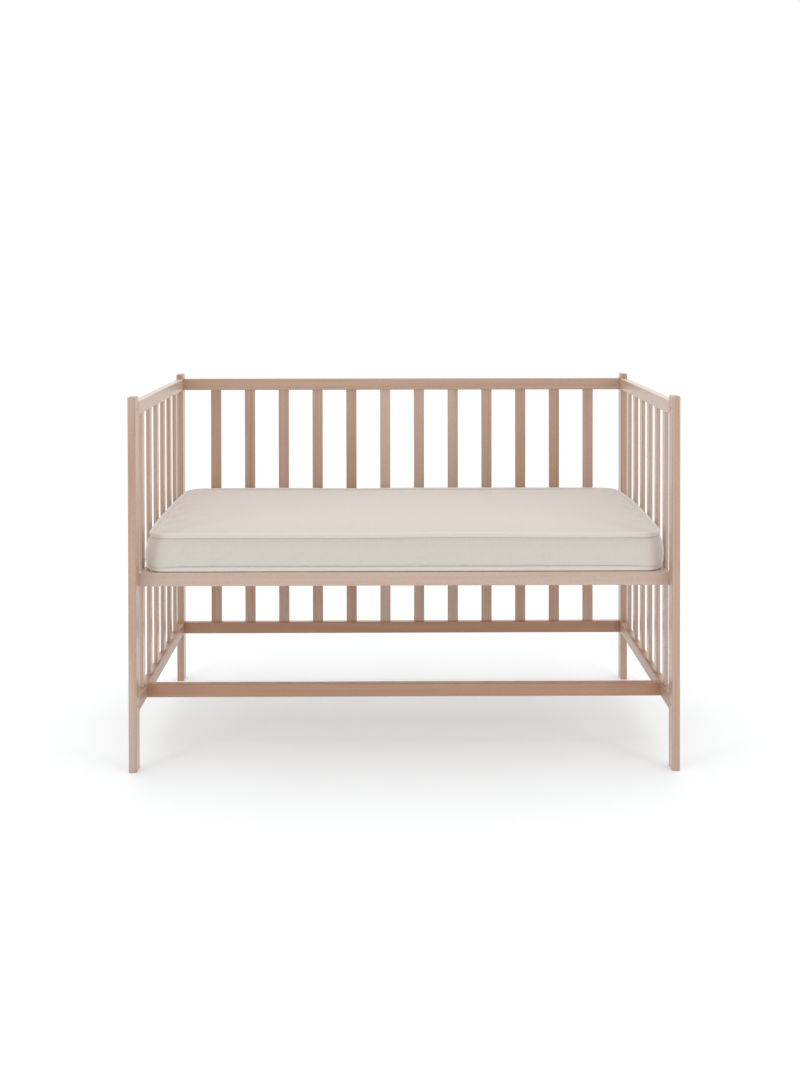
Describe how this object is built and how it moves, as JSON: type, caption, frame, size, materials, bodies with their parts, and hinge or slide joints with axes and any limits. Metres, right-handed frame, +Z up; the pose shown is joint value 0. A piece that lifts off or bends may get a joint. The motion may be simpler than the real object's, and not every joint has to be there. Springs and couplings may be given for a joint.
{
  "type": "baby crib",
  "caption": "Beech baby crib with barred end and back panels, an open front, a low stretcher, a slatted base and a piped foam mattress.",
  "frame": {"origin": "on the floor, at the middle of the cot's length and width", "axes": "+X along the cot to the right seen from the front, +Y from the open front to the back panel, +Z up"},
  "size_m": [1.23, 0.66, 0.838],
  "materials": {
    "beech": "natural beech under a thin satin lacquer",
    "slat_beech": "planed beech, unfinished",
    "dowel_beech": "fluted beech dowel, unfinished",
    "cover_fabric": "ecru linen and cotton weave, matt",
    "piping_fabric": "bias-cut piping in the cover fabric, matt",
    "foam": "open-cell polyurethane foam, matt",
    "zip_plastic": "moulded coil zip on a woven tape",
    "zinc_steel": "bright zinc-plated steel",
    "insert_brass": "turned brass"
  },
  "bodies": {
    "frame": {"back_bar_1": "beech", "back_bar_10": "beech", "back_bar_11": "beech", "back_bar_12": "beech", "back_bar_2": "beech", "back_bar_3": "beech", "back_bar_4": "beech", "back_bar_5": "beech", "back_bar_6": "beech", "back_bar_7": "beech", "back_bar_8": "beech", "back_bar_9": "beech", "back_bottom_rail": "beech", "back_top_rail": "beech", "barrel_nuts": "zinc_steel", "base_back_rail": "beech", "base_bolts": "zinc_steel", "base_front_rail": "beech", "base_left_rail": "beech", "base_right_rail": "beech", "base_slat_1": "slat_beech", "base_slat_10": "slat_beech", "base_slat_2": "slat_beech", "base_slat_3": "slat_beech", "base_slat_4": "slat_beech", "base_slat_5": "slat_beech", "base_slat_6": "slat_beech", "base_slat_7": "slat_beech", "base_slat_8": "slat_beech", "base_slat_9": "slat_beech", "dowels": "dowel_beech", "frame_bolts": "zinc_steel", "front_stretcher": "beech", "left_back_post": "beech", "left_bar_1": "beech", "left_bar_2": "beech", "left_bar_3": "beech", "left_bar_4": "beech", "left_bar_5": "beech", "left_bar_6": "beech", "left_bottom_rail": "beech", "left_front_post": "beech", "left_top_rail": "beech", "right_back_post": "beech", "right_bar_1": "beech", "right_bar_2": "beech", "right_bar_3": "beech", "right_bar_4": "beech", "right_bar_5": "beech", "right_bar_6": "beech", "right_bottom_rail": "beech", "right_front_post": "beech", "right_top_rail": "beech", "slat_screws": "zinc_steel", "threaded_inserts": "insert_brass"},
    "mattress": {"mattress_core": "foam", "mattress_cover": "cover_fabric", "mattress_piping": "piping_fabric", "cover_zip": "zip_plastic"}
  },
  "joints": [
    {"name": "mattress_lift", "type": "slide", "parent": "frame", "child": "mattress", "axis": [0, 0, 1], "range_m": [0, 0.42]}
  ]
}
